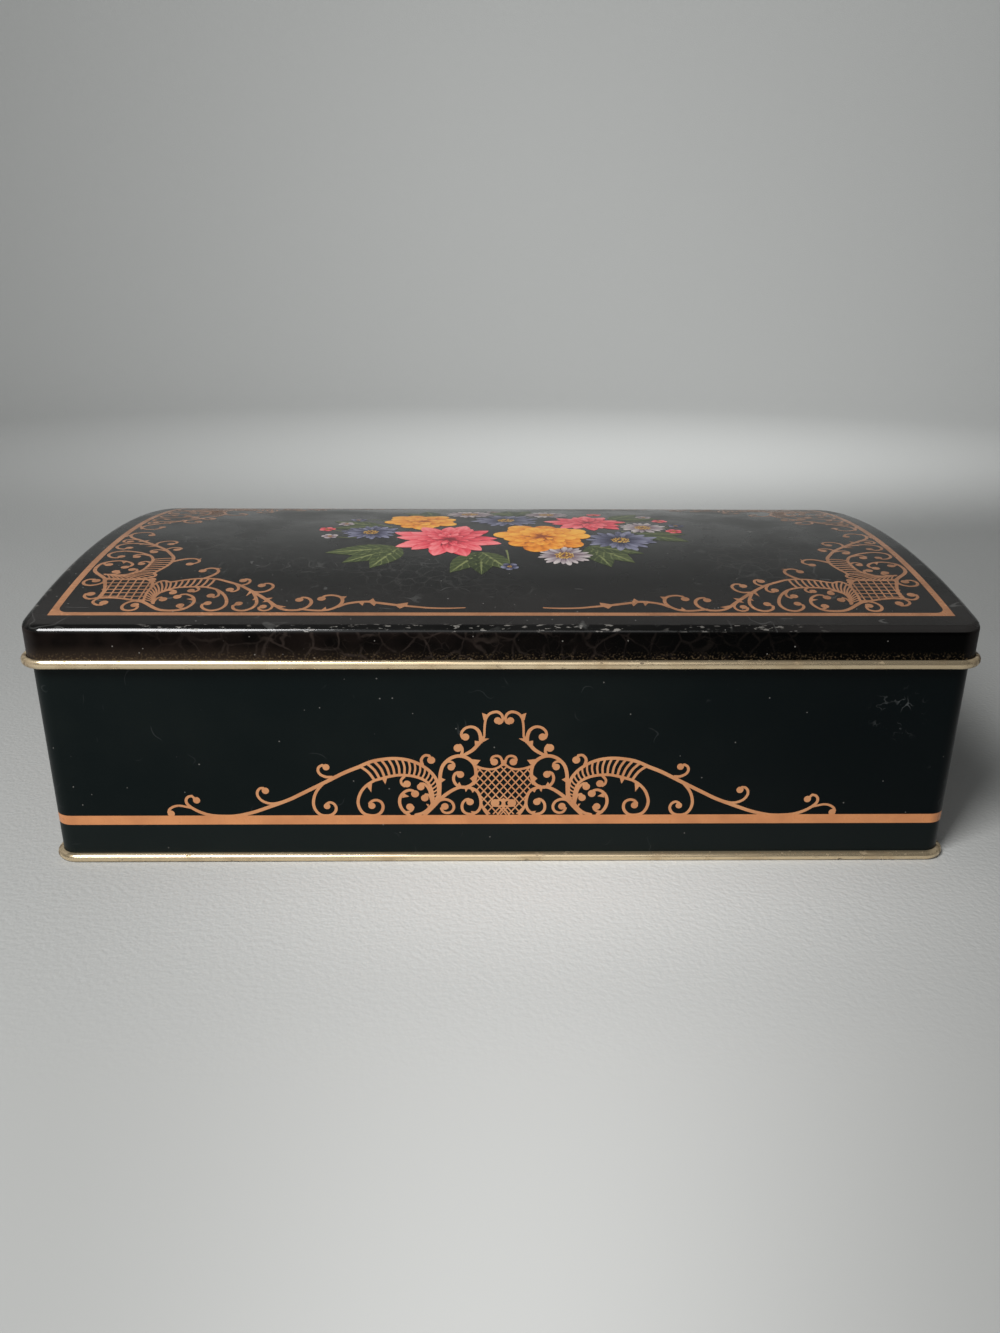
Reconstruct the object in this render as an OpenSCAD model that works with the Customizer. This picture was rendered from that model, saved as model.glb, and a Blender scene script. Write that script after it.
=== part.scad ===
// Rectangular tin box with a lift-off lid, made from three tinplate pieces:
// a lock-seamed body wall, a base plate curled round the body's foot flange,
// and a pressed lid with a vaulted top and a rolled rim.
// Millimetres. +X is the tin's long side, -Y its front, +Z up. The origin is
// on the floor, under the middle of the tin.

/* [Sheet] */
// Thickness of the tinplate that every piece is made from
sheet = 0.3; // [0.2:0.05:0.5]

/* [Body] */
// Width of the body wall, outside, along X
body_w = 240; // [160:1:320]
// Depth of the body wall, outside, along Y
body_d = 138; // [90:1:200]
// Height of the body's top edge above the floor
body_h = 66.4; // [40:0.1:120]
// Outside radius of the body's upright corners
body_corner_r = 5; // [4:0.5:12]
// Diameter of the safety hem rolled inwards along the body's top edge
hem_d = 2; // [1.4:0.1:3]
// Width of the folded lock seam down the middle of the back wall
lock_seam_w = 5; // [3:0.5:8]

/* [Base] */
// Height of the base seam, which is the rim that the tin stands on
seam_h = 2.3; // [1.6:0.1:3]
// How far the base seam stands out from the body wall
seam_out = 1.6; // [1.4:0.1:2.4]
// How far the body's foot flange reaches out into the base seam
flange_out = 1; // [0.6:0.1:1]
// Slack between the base seam and the body wall that it grips
seam_fit = 0.05; // [0.03:0.01:0.1]
// Height of the base panel's underside above the floor
panel_z = 2.4; // [2.2:0.1:5]
// Height of the stiffening step pressed up in the base panel
panel_step = 0.6; // [0.3:0.1:1.5]
// Distance from the body wall to the stiffening step
panel_inset = 9; // [6:0.5:20]
// Corner radius of the stiffening step
panel_corner_r = 10; // [4:0.5:20]

/* [Lid] */
// Height of the lid's skirt at the front, from the rim's underside to the top's edge
skirt_h = 10.5; // [7:0.1:20]
// Rise of the vaulted top from its front edge to its crest
lid_rise = 8; // [3:0.5:16]
// Radius of the rounded edge between the skirt and the top, outside
lid_edge_r = 2; // [1:0.1:4]
// Gap between the lid's skirt and the body wall inside it
lid_gap = 0.8; // [0.3:0.05:1.2]
// Thickness of the rim rolled outwards along the skirt's lower edge, from inside to outside
rim_d = 1.8; // [1.4:0.1:3]
// Height of that rim, whose section is a slightly flattened roll
rim_h = 2.4; // [1.4:0.1:3.6]
// How far round the rim's roll goes, in degrees
rim_turn = 300; // [240:10:320]
// Gap between the lid's underside and the body's hem where the lid rests
seat_gap = 0.3; // [0.1:0.05:0.5]

/* [Hidden] */
$fn = 48;

print_black = "#14171a";
gold_lacquer = "#b9a878";

// Body: the wall's outside face is the line that every section is drawn from.
hem_r = hem_d / 2;
flange_z = (seam_h - sheet) / 2;
wall_top = body_h - hem_r;
seam_clear = 0.3;
lock_seam_t = 2 * sheet;
lock_groove_w = 0.4;
lock_groove_t = sheet / 2;

// Base: the countersunk wall sits just inside the body wall.
countersink = 2 * sheet + seam_fit;
seam_arc_x = seam_out - seam_h / 2;

// Lid: a larger rounded rectangle, concentric with the body's corners.
lid_over = lid_gap + sheet;
lid_w = body_w + 2 * lid_over;
lid_d = body_d + 2 * lid_over;
lid_corner_r = body_corner_r + lid_over;
vault_half = lid_d / 2;
vault_r = (pow(vault_half, 2) + pow(lid_rise, 2)) / (2 * lid_rise);
seat_y = body_d / 2 - hem_r;
rim_r = rim_d / 2;
rim_half = rim_h / 2;
rim_centre = sheet - rim_r;
lid_z = body_h + seat_gap + sheet - skirt_h - vault(seat_y);

// Facets of the pressed lid
corner_steps = 6;
end_steps = 12;
edge_steps = 4;
rim_steps = 10;

// Height of the vaulted top above its front edge, at a distance y from the middle
function vault(y) = sqrt(pow(vault_r, 2) - pow(y, 2)) - (vault_r - lid_rise);

// A flat section swept once round a rounded rectangle of size w by d.
// The section's x = 0 is the rectangle's outline, +x is outwards and y is height.
module sweep_round_rect(w, d, r) {
    for (corner = [[1, 1, 0], [-1, 1, 90], [-1, -1, 180], [1, -1, 270]])
        translate([corner.x * (w / 2 - r), corner.y * (d / 2 - r), 0])
            rotate(corner.z)
                rotate_extrude(angle = 90)
                    translate([r, 0]) children();
    for (side = [[w, d, 0], [d, w, 90], [w, d, 180], [d, w, 270]])
        rotate(side.z)
            translate([side.x / 2, 0, 0])
                rotate([90, 0, 0])
                    linear_extrude(side.y - 2 * r, center = true) children();
}

// A plate with rounded corners, standing on z = 0
module round_plate(w, d, r, h) {
    linear_extrude(h) {
        square([w - 2 * r, d], center = true);
        square([w, d - 2 * r], center = true);
        for (x = [-1, 1], y = [-1, 1])
            translate([x * (w / 2 - r), y * (d / 2 - r)]) circle(r);
    }
}

// Section of the body wall: foot flange, wall and the hem rolled inwards
module body_section() {
    translate([-sheet, flange_z]) square([sheet, wall_top - flange_z]);
    translate([-sheet, flange_z]) square([sheet + flange_out, sheet]);
    translate([-hem_r, wall_top])
        difference() {
            circle(hem_r);
            circle(hem_r - sheet);
            translate([0, -hem_d]) square(hem_d);
        }
}

// Wall bent from one strip, hooked to itself down the back by a lock seam
module body_wall() {
    seam_foot = panel_z + panel_step + sheet + seam_clear;
    seam_top = body_h - hem_d - seam_clear;
    color(print_black)
        difference() {
            union() {
                sweep_round_rect(body_w, body_d, body_corner_r) body_section();
                translate([-lock_seam_w / 2, body_d / 2 - sheet - lock_seam_t, seam_foot])
                    cube([lock_seam_w, lock_seam_t + sheet / 2, seam_top - seam_foot]);
            }
            translate([-lock_groove_w / 2, body_d / 2 - lock_groove_t, seam_foot])
                cube([lock_groove_w, lock_groove_t + seam_out, seam_top - seam_foot]);
        }
}

// The outer half of the base seam's round, seen in section
module seam_round(d) {
    translate([seam_arc_x, seam_h / 2])
        intersection() {
            circle(d = d);
            translate([0, -d]) square(2 * d);
        }
}

// Section of the base's edge: a countersunk wall, then a curl round the body's flange
module base_section() {
    difference() {
        union() {
            translate([-countersink, 0]) square([countersink + seam_arc_x, seam_h]);
            seam_round(seam_h);
        }
        translate([sheet - countersink, sheet])
            square([countersink - sheet + seam_arc_x, seam_h - 2 * sheet]);
        seam_round(seam_h - 2 * sheet);
        translate([sheet - countersink, sheet])
            square([countersink - sheet + seam_fit, seam_h]);
    }
    translate([-countersink, 0]) square([sheet, panel_z + sheet]);
}

// Pressed base with a stiffening step, curled round the body's foot flange
module base_plate() {
    panel_in = countersink - sheet;
    color(gold_lacquer)
        difference() {
            union() {
                sweep_round_rect(body_w, body_d, body_corner_r) base_section();
                translate([0, 0, panel_z])
                    round_plate(body_w - 2 * panel_in, body_d - 2 * panel_in, body_corner_r - panel_in, sheet);
                translate([0, 0, panel_z])
                    round_plate(body_w - 2 * panel_inset, body_d - 2 * panel_inset, panel_corner_r,
                                panel_step + sheet);
            }
            translate([0, 0, panel_z - sheet])
                round_plate(body_w - 2 * (panel_inset + sheet), body_d - 2 * (panel_inset + sheet),
                            panel_corner_r - sheet, panel_step + sheet);
        }
}

// Right half of the lid's outline set in by inset, from the front to the back
function lid_half(inset) =
    let (r = lid_corner_r - inset, cx = lid_w / 2 - lid_corner_r, cy = lid_d / 2 - lid_corner_r)
    concat(
        [for (i = [0 : corner_steps]) let (a = -90 + 90 * i / corner_steps) [cx + r * cos(a), -cy + r * sin(a)]],
        [for (j = [1 : end_steps - 1]) [lid_w / 2 - inset, -cy + 2 * cy * j / end_steps]],
        [for (i = [0 : corner_steps]) let (a = 90 * i / corner_steps) [cx + r * cos(a), cy + r * sin(a)]]
    );

// The whole outline, anticlockwise from the front right
function lid_outline(inset) =
    let (right = lid_half(inset), last = len(right) - 1)
    concat(right, [for (i = [last : -1 : 0]) [-right[i].x, right[i].y]]);

// One ring of the lid's skin. A ring is [inset, height, true where the height follows the vault].
function lid_ring(ring) =
    [for (p = lid_outline(ring[0])) [p.x, p.y, ring[1] + (ring[2] ? skirt_h + vault(p.y) : 0)]];

// Rings of the rounded top edge on a skin that lies depth below the outside, from the top down
function edge_rings(depth) =
    [for (k = [0 : edge_steps])
        let (a = 90 - 90 * k / edge_steps, r = lid_edge_r - depth)
        [lid_edge_r - r * cos(a), r * sin(a) - lid_edge_r, true]];

// Rings of the rolled rim on a skin that lies depth below its outside, from the skirt round to the roll's end
function rim_rings(depth) =
    [for (k = [0 : rim_steps])
        let (a = rim_turn * k / rim_steps)
        [rim_centre + (rim_r - depth) * cos(a), rim_half - (rim_half - depth) * sin(a), false]];

function reversed(list) = [for (i = [len(list) - 1 : -1 : 0]) list[i]];

// Lid pressed from one sheet, its skin followed from the top, round the rim and back inside
module lid() {
    rings = concat(
        edge_rings(0),
        rim_rings(sheet),
        reversed(rim_rings(0)),
        reversed(edge_rings(sheet))
    );
    half = corner_steps * 2 + end_steps + 1;
    around = half * 2;
    final = (len(rings) - 1) * around;
    points = [for (ring = rings) each lid_ring(ring)];
    sides = [for (k = [0 : len(rings) - 2], i = [0 : around - 1])
        let (a = k * around + i, b = k * around + (i + 1) % around)
        each [[a, b, b + around], [a, b + around, a + around]]];
    top = [for (i = [0 : half - 2])
        let (a = i, b = i + 1, c = around - 2 - i, d = around - 1 - i)
        each [[a, c, b], [a, d, c]]];
    underside = [for (f = top) [f[0] + final, f[2] + final, f[1] + final]];
    color(print_black)
        translate([0, 0, lid_z])
            polyhedron(points = points, faces = concat(sides, top, underside), convexity = 8);
}

body_wall();
base_plate();
lid();
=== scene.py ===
"""Dresses the tin container: printed lacquer, rolled gold rims, copper scrollwork and a spray of flowers."""
import math

import bmesh
import bpy
from mathutils import Matrix, Vector
from mathutils.geometry import delaunay_2d_cdt


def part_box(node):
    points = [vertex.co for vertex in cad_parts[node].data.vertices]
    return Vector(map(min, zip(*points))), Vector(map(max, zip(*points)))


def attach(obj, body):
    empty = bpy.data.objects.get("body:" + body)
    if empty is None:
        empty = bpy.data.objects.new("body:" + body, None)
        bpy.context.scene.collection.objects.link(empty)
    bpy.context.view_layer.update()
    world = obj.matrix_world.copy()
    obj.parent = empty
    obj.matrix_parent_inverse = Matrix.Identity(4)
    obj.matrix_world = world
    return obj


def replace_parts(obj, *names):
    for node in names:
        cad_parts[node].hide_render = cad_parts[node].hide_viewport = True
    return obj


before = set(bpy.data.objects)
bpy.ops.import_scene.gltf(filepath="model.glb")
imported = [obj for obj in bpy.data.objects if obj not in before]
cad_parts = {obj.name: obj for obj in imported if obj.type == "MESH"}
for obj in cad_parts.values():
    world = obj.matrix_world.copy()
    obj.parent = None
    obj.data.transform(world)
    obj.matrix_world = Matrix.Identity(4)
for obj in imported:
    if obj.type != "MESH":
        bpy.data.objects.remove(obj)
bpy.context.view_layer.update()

# Sizes, in millimetres. The solids give the large ones, and the sheet metal's own sizes are named here.
MM = 0.001
SHEET = 0.3
CORNER_R = 5.0
FOOT_FLANGE = 1.0
HEM_R = 1.0
SEAM_ROUND = 0.25
SEAM_ROUND_MID = 0.07
BASE_BEND = 0.15
LID_GAP = 0.8
LID_EDGE_R = 2.0
RIM_T = 1.8
RIM_H = 2.4
RIM_TURN = 300
SKIRT_H = 10.5
SEAM_H = 2.3
SEAM_OUT = 1.6
SEAM_FIT = 0.05
PANEL_Z = 2.4
PANEL_STEP = 0.6
PANEL_INSET = 9.0
PANEL_CORNER_R = 10.0
LOCK_SEAM_W = 5.0
LOCK_SEAM_T = 0.6
LOCK_SEAM_CLEAR = 0.3
GROOVE_W = 0.4
GROOVE_T = 0.15
BAND_LOW = 10.9
BAND_TOP = 13.6
INK_LIFT = 0.02
TOP_SETBACK = 0.08


def node_box(node):
    """Lowest and highest corner of a solid, in millimetres."""
    low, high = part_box(node)
    return low / MM, high / MM


wall_low, wall_high = node_box("body_wall")
lid_low, lid_high = node_box("lid")
BODY_W = wall_high.x - wall_low.x - 2 * FOOT_FLANGE
BODY_D = wall_high.y - wall_low.y - 2 * FOOT_FLANGE
BODY_TOP = wall_high.z
SEAM_FOOT_Z = PANEL_Z + PANEL_STEP + SHEET + LOCK_SEAM_CLEAR
SEAM_TOP_Z = BODY_TOP - 2 * HEM_R - LOCK_SEAM_CLEAR
RIM_OUT = RIM_T - SHEET
LID_W = lid_high.x - lid_low.x - 2 * RIM_OUT
LID_D = lid_high.y - lid_low.y - 2 * RIM_OUT
LID_Z = lid_low.z
LID_CORNER_R = CORNER_R + LID_GAP + SHEET
EDGE_Z = LID_Z + SKIRT_H
LID_RISE = lid_high.z - EDGE_Z - TOP_SETBACK
VAULT_R = ((LID_D / 2) ** 2 + LID_RISE ** 2) / (2 * LID_RISE)


def vault(y):
    """Height of the lid's top above its front edge, at a distance y from the middle."""
    return math.sqrt(VAULT_R ** 2 - y ** 2) - (VAULT_R - LID_RISE)


def add_object(name, data):
    """A new object in the scene."""
    made = bpy.data.objects.new(name, data)
    bpy.context.scene.collection.objects.link(made)
    return made


def smooth_skin(name, points, faces, material):
    """A new object of one material, shaded smooth."""
    mesh = bpy.data.meshes.new(name)
    mesh.from_pydata(points, [], faces)
    mesh.materials.append(material)
    for face in mesh.polygons:
        face.use_smooth = True
    return add_object(name, mesh)


# Shader wiring

class Wire:
    """An output of a shader node. Arithmetic on wires adds Math nodes to their tree."""

    def __init__(self, tree, socket=None):
        self.tree = tree
        self.socket = socket

    def node(self, kind, settings=None, inputs=None, output=0):
        """Adds a node: its settings first, then the values or wires of its inputs."""
        made = self.tree.nodes.new(kind)
        for name, value in (settings or {}).items():
            if name == "stops":
                fill_ramp(made.color_ramp, value)
            else:
                setattr(made, name, value)
        for name, value in (inputs or {}).items():
            if isinstance(value, Wire):
                self.tree.links.new(value.socket, made.inputs[name])
            else:
                made.inputs[name].default_value = value
        return Wire(self.tree, made.outputs[output])

    def math(self, operation, *values):
        return self.node("ShaderNodeMath", {"operation": operation}, dict(enumerate(values)))

    def __add__(self, other):
        return self.math("ADD", self, other)

    def __sub__(self, other):
        return self.math("SUBTRACT", self, other)

    def __rsub__(self, other):
        return self.math("SUBTRACT", other, self)

    def __mul__(self, other):
        return self.math("MULTIPLY", self, other)

    def __abs__(self):
        return self.math("ABSOLUTE", self)

    __radd__ = __add__
    __rmul__ = __mul__

    def larger(self, other):
        return self.math("MAXIMUM", self, other)

    def step(self, low, high):
        """0 below low and 1 above high, with a smooth rise between; high may be the smaller."""
        settings = {"interpolation_type": "SMOOTHSTEP"}
        return self.node("ShaderNodeMapRange", settings, {"Value": self, "From Min": low, "From Max": high})

    def mix(self, one, other):
        """Colour one where this wire is 0, the other where it is 1."""
        settings = {"data_type": "RGBA"}
        return self.node("ShaderNodeMix", settings, {0: self, 6: one, 7: other}, output=2)


def fill_ramp(ramp, stops):
    """Sets a colour ramp's stops from (position, colour) pairs."""
    while len(ramp.elements) < len(stops):
        ramp.elements.new(1.0)
    for element, (position, colour) in zip(ramp.elements, stops):
        element.position = position
        element.color = colour


def rgb(red, green, blue):
    return (red, green, blue, 1.0)


def new_material(name):
    """A material with only a Principled shader, and a loose wire to start its graph from."""
    material = bpy.data.materials.new(name)
    material.use_nodes = True
    return material, Wire(material.node_tree)


def connect(material, **wires):
    """Links wires to the Principled shader; a name's underscores stand for spaces."""
    shader = material.node_tree.nodes["Principled BSDF"]
    for name, value in wires.items():
        socket = shader.inputs[name.replace("_", " ").title().replace("Ior", "IOR")]
        if isinstance(value, Wire):
            material.node_tree.links.new(value.socket, socket)
        else:
            socket.default_value = value


def place_mm(start, stretch=(1, 1, 1)):
    """The surface point in millimetres, in the tin's own frame."""
    place = start.node("ShaderNodeTexCoord", output="Object")
    scale = [1 / MM * s for s in stretch]
    return start.node("ShaderNodeVectorMath", {"operation": "MULTIPLY"}, {0: place, 1: scale})


def axis(place, name):
    """One coordinate of a point."""
    return place.node("ShaderNodeSeparateXYZ", None, {"Vector": place}, output=name)


def noise(place, size, detail=3.0):
    """Soft random values from 0 to 1, with features of this size in millimetres."""
    inputs = {"Vector": place, "Scale": 1 / size, "Detail": detail}
    return place.node("ShaderNodeTexNoise", None, inputs)


def specks(place, spacing, radius):
    """1 on small dots, this far apart, whose edges are rough."""
    ragged = (noise(place, radius * 2) - 0.5) * (0.8 * radius / spacing)
    inputs = {"Vector": place, "Scale": 1 / spacing}
    near = place.node("ShaderNodeTexVoronoi", None, inputs, output="Distance")
    return (near + ragged).step(radius / spacing, 0.6 * radius / spacing)


def hairlines(place, size, width):
    """1 on thin scratches that wander with bends of this size."""
    wander = noise(place, size, 1.5) - 0.5
    return abs(wander).step(width / size, 0.3 * width / size)


def crackle(place, size, width):
    """1 on the fine lines between rounded cells of this size."""
    bend = place.node("ShaderNodeTexNoise", None, {"Vector": place, "Scale": 1 / size}, output="Color")
    inputs = {0: bend, 1: [size * 0.7] * 3, 2: place}
    bent = place.node("ShaderNodeVectorMath", {"operation": "MULTIPLY_ADD"}, inputs)
    inputs = {"Vector": bent, "Scale": 1 / size}
    edge = place.node("ShaderNodeTexVoronoi", {"feature": "DISTANCE_TO_EDGE"}, inputs, output="Distance")
    return edge.step(width / size, 0.2 * width / size)


def bump(height, distance):
    """A normal bent by a height from 0 to 1 that stands for this many millimetres."""
    inputs = {"Height": height, "Distance": distance * MM, "Strength": 1.0}
    return height.node("ShaderNodeBump", None, inputs, output="Normal")


# The middle of the rubbed patch
RUBBED_AT = (102, -69, 43)


def body_lacquer():
    """Smooth green-black print: smudges, dust, a rubbed patch high on the right; painted shade to the right
    and a painted floor reflection under the band.
    """
    material, start = new_material("body_lacquer")
    place = place_mm(start)
    smudge = noise(place, 28).step(0.35, 0.75)
    inputs = {0: place, 1: RUBBED_AT}
    from_patch = start.node("ShaderNodeVectorMath", {"operation": "DISTANCE"}, inputs, output="Value")
    rubbed = from_patch.step(9, 2) * hairlines(place, 2.6, 0.07) * noise(place, 4).step(0.48, 0.6)
    scratch = hairlines(place, 9, 0.09) * noise(place, 11).step(0.60, 0.68)
    dust = specks(place, 4.6, 0.22)
    # Painted shade: the print is darkened towards the right, away from the light.
    right = axis(place, "X").step(0, 105)
    # Painted reflection of the floor: the print is paler below the band.
    painted_floor_reflection = axis(place, "Z").step(BAND_TOP, BAND_LOW)
    colour = smudge.mix(rgb(0.0017, 0.0044, 0.0046), rgb(0.0036, 0.0064, 0.0062))
    # Painted shade towards the right.
    colour = (right * 0.8).mix(colour, rgb(0.0003, 0.0017, 0.0023))
    # Painted reflection of the floor below the band.
    colour = (painted_floor_reflection * 0.5).mix(colour, rgb(0.0095, 0.0135, 0.013))
    colour = (scratch * 0.10 + rubbed * 0.35).mix(colour, rgb(0.16, 0.17, 0.17))
    colour = (dust * 0.5).mix(colour, rgb(0.30, 0.29, 0.27))
    rough = 0.30 + smudge * 0.10 + rubbed * 0.15 + dust * 0.3
    dents = bump(noise(place, 18) + noise(place, 2.2) * 0.04, 0.06)
    connect(material, base_color=colour, roughness=rough, specular_ior_level=0.11, normal=dents)
    return material


def lid_edge(place):
    """0 on the lid's flat top and 1 on its rounded edge."""
    past_x = abs(axis(place, "X")) - (LID_W / 2 - LID_EDGE_R)
    past_y = abs(axis(place, "Y")) - (LID_D / 2 - LID_EDGE_R)
    return past_x.larger(past_y).step(-0.6, 0.5)


def lid_lacquer():
    """Glossy black top: fine scratches, dust, faint crackle behind and pale chips along its edge."""
    material, start = new_material("lid_lacquer")
    place = place_mm(start)
    smudge = noise(place, 22).step(0.35, 0.7)
    edge = lid_edge(place)
    scratch = hairlines(place, 13, 0.12) * noise(place, 14).step(0.56, 0.64)
    scrape = hairlines(place_mm(start, (0.35, 1, 1)), 7, 0.1) * noise(place, 9).step(0.62, 0.68)
    dust = specks(place, 3.4, 0.19)
    rubbed = edge * axis(place, "X").step(88, 55)
    flakes = noise(place_mm(start, (0.3, 1, 1)), 0.7).step(0.60, 0.66)
    chips = rubbed * flakes * noise(place, 20).step(0.34, 0.5)
    front = axis(place, "Y").step(-40, -62)
    network = crackle(place, 4.5, 0.22) * noise(place, 40).step(0.42, 0.6) * (1 - front)
    colour = smudge.mix(rgb(0.0045, 0.0044, 0.0042), rgb(0.009, 0.0088, 0.0084))
    colour = (front * (1 - rubbed) * 0.7).mix(colour, rgb(0.027, 0.025, 0.024))
    colour = (scratch * 0.14 + scrape * 0.25).mix(colour, rgb(0.22, 0.22, 0.21))
    colour = (dust * 0.6).mix(colour, rgb(0.34, 0.33, 0.31))
    colour = (network * 0.10).mix(colour, rgb(0.2, 0.19, 0.18))
    colour = (chips * 0.5).mix(colour, rgb(0.34, 0.32, 0.29))
    rough = 0.2 + smudge * 0.14 * (1 - edge) + dust * 0.3 + chips * 0.3 - edge * 0.09
    worn = axis(place, "X").step(-60, 0)
    dents = bump(noise(place, 15) + network * 0.25 + noise(place, 1.2) * edge * worn * 0.6, 0.05)
    connect(material, base_color=colour, roughness=rough, specular_ior_level=0.36, normal=dents)
    return material


def skirt_lacquer():
    """Brown-black skirt: crazed along the middle and dusty along the rim; painted shade blackens it towards
    the right, and painted reflections pale it low on the left and at both ends.
    """
    material, start = new_material("skirt_lacquer")
    place = place_mm(start)
    x = axis(place, "X")
    z = axis(place, "Z")
    low = z.step(LID_Z + RIM_H + 2.5, LID_Z + RIM_H - 0.2)
    # Painted shade: black towards the right, away from the light; the same mask also puts most of the crazing
    # on the left.
    left = x.step(70, -60)
    # Painted reflection: paler brown low on the left, just above the rim.
    painted_reflection_low_left = z.step(LID_Z + RIM_H + 4.5, LID_Z + RIM_H) * x.step(0, -110)
    middle = (abs(x) + (noise(place, 12) - 0.5) * 60).step(105, 45)
    crazed = middle * (0.25 + left * 0.75)
    lines = crackle(place, 6.0, 0.42) * crazed * noise(place, 5).step(0.3, 0.6)
    fine = crackle(place, 3.0, 0.14) * crazed * noise(place, 7).step(0.45, 0.6)
    # Painted reflection: paler at both ends, where the rounded corners turn.
    corner = abs(x).step(LID_W / 2 - 6, LID_W / 2 - 1)
    dust = specks(place, 3.0, 0.22)
    grit = low * noise(place, 0.5).step(0.52, 0.68)
    brown = noise(place, 6).step(0.3, 0.7).mix(rgb(0.0014, 0.0008, 0.0006), rgb(0.0062, 0.0038, 0.0030))
    # Painted shade towards the right.
    colour = left.mix(rgb(0.0003, 0.0003, 0.0003), brown)
    # Painted reflection low on the left.
    colour = (painted_reflection_low_left * 0.8).mix(colour, rgb(0.026, 0.018, 0.013))
    # Painted reflection at both ends.
    colour = (corner * 0.7).mix(colour, rgb(0.026, 0.022, 0.021))
    colour = (lines * 0.24 + fine * 0.12).mix(colour, rgb(0.080, 0.060, 0.050))
    colour = (dust * 0.5).mix(colour, rgb(0.32, 0.30, 0.27))
    colour = (grit * 0.5).mix(colour, rgb(0.15, 0.105, 0.055))
    rough = 0.3 + noise(place, 5) * 0.12 + grit * 0.3
    dents = bump(noise(place, 14) + lines * 0.35, 0.06)
    connect(material, base_color=colour, roughness=rough, specular_ior_level=0.05, normal=dents)
    return material


def rim_gold():
    """Pale gold lacquer on the rolled rims, with brown grime in spots and streaks and at the corners."""
    material, start = new_material("rim_gold")
    place = place_mm(start)
    tarnish = noise(place, 9).step(0.45, 0.75)
    streaks = noise(place_mm(start, (0.35, 0.35, 1)), 0.9, 4).step(0.62, 0.70)
    grime = streaks * noise(place, 16).step(0.42, 0.6)
    spots = specks(place, 2.6, 0.28)
    corner = abs(axis(place, "X")).step(BODY_W / 2 - 5, BODY_W / 2 + 1)
    smears = corner * noise(place, 1.6).step(0.38, 0.56)
    dirt = grime.larger(smears).larger(spots * 0.8)
    colour = tarnish.mix(rgb(0.79, 0.635, 0.415), rgb(0.60, 0.455, 0.28))
    colour = (dirt * 0.85).mix(colour, rgb(0.055, 0.033, 0.017))
    rough = 0.23 + tarnish * 0.12 + dirt * 0.3
    connect(material, base_color=colour, roughness=rough, metallic=0.84 - dirt * 0.74)
    return material


def inside_gold():
    """Gold lacquer inside the tin: even, with faint rolling streaks and a few dull marks."""
    material, start = new_material("inside_gold")
    place = place_mm(start)
    streak = noise(place_mm(start, (0.04, 1, 1)), 1.2)
    mark = noise(place, 24, 1.0).step(0.4, 0.8)
    colour = mark.mix(rgb(0.75, 0.61, 0.38), rgb(0.66, 0.52, 0.30))
    rough = 0.30 + streak * 0.12 + mark * 0.08
    connect(material, base_color=colour, roughness=rough, metallic=1.0)
    return material


def copper_ink():
    """Copper ink, paler above the band, with bare spots and rubbed places; on the lid it is darker and
    browner as painted shade.
    """
    material, start = new_material("copper_ink")
    place = place_mm(start)
    height = axis(place, "Z")
    # Painted shade: on the lid the same copper ink gets a darker, browner colour, standing in for its dimmer
    # reflections there.
    on_lid = height.step(EDGE_Z - 4, EDGE_Z - 3)
    above_band = height.step(BAND_TOP, BAND_TOP + 0.3)
    cloud = noise(place, 7).step(0.3, 0.75)
    grain = noise(place, 0.35)
    bare = noise(place, 0.8, 4).step(0.70, 0.76) * noise(place, 12).step(0.45, 0.6)
    fleck = noise(place, 1.1).step(0.52, 0.72) * noise(place, 9).step(0.4, 0.65)
    colour = above_band.mix(rgb(0.64, 0.265, 0.105), rgb(0.60, 0.285, 0.130))
    # Painted shade on the lid.
    colour = on_lid.mix(colour, rgb(0.37, 0.178, 0.092))
    # The worn tone is darker on the lid too, as painted shade.
    worn = on_lid.mix(rgb(0.46, 0.180, 0.072), rgb(0.205, 0.096, 0.049))
    colour = (cloud * 0.6 + grain * 0.3 - 0.1).mix(colour, worn)
    colour = (fleck * on_lid * 0.6).mix(colour, rgb(0.56, 0.26, 0.13))
    colour = (bare * 0.8).mix(colour, rgb(0.02, 0.014, 0.012))
    rough = 0.25 + cloud * 0.1
    connect(material, base_color=colour, roughness=rough, specular_ior_level=0.36)
    return material


# Sheet metal

CORNER_STEPS = 8
END_ROWS = 24
HEM_STEPS = 14
CURL_STEPS = 12
EDGE_STEPS = 6
RIM_STEPS = 18
# Where the base's curl starts on its round, in degrees
CURL_START = -75
# How many bands of the lid's rounded edge have the top's finish
TOP_BANDS = 4


def outline(width, depth, radius, groove=None):
    """A rounded rectangle, anticlockwise from the front right, with rows along the ends for the vault.
    A groove is the depth of the line down the middle of the back, and may be 0."""
    cx = width / 2 - radius
    cy = depth / 2 - radius
    quarter = [math.radians(90 * i / CORNER_STEPS) for i in range(CORNER_STEPS + 1)]
    right = [(cx + radius * math.sin(a), -cy - radius * math.cos(a)) for a in quarter]
    right += [(width / 2, cy * (2 * j / END_ROWS - 1)) for j in range(1, END_ROWS)]
    right += [(cx + radius * math.cos(a), cy + radius * math.sin(a)) for a in quarter]
    if groove is not None:
        right += [(GROOVE_W / 2, depth / 2), (GROOVE_W / 4, depth / 2 - groove)]
    return right + [(-x, y) for x, y in reversed(right)]


def ring(width, depth, radius, inset, height, groove=None):
    """An outline set in by inset, at a height that is a number or a rule on the point's y."""
    points = outline(width - 2 * inset, depth - 2 * inset, radius - inset, groove)
    return [(x, y, height(y) if callable(height) else height) for x, y in points]


def bands_between(rings, around):
    """Quads that join each ring to the next."""
    quads = []
    for k in range(len(rings) - 1):
        low = k * around
        for i in range(around):
            j = (i + 1) % around
            quads.append((low + i, low + j, low + around + j, low + around + i))
    return quads


def strips_across(first, around):
    """Quads that fill a ring from its right half to its left half, row by row."""
    half = around // 2
    last = first + around - 1
    return [(first + i, first + i + 1, last - 1 - i, last - i) for i in range(half - 1)]


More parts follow.
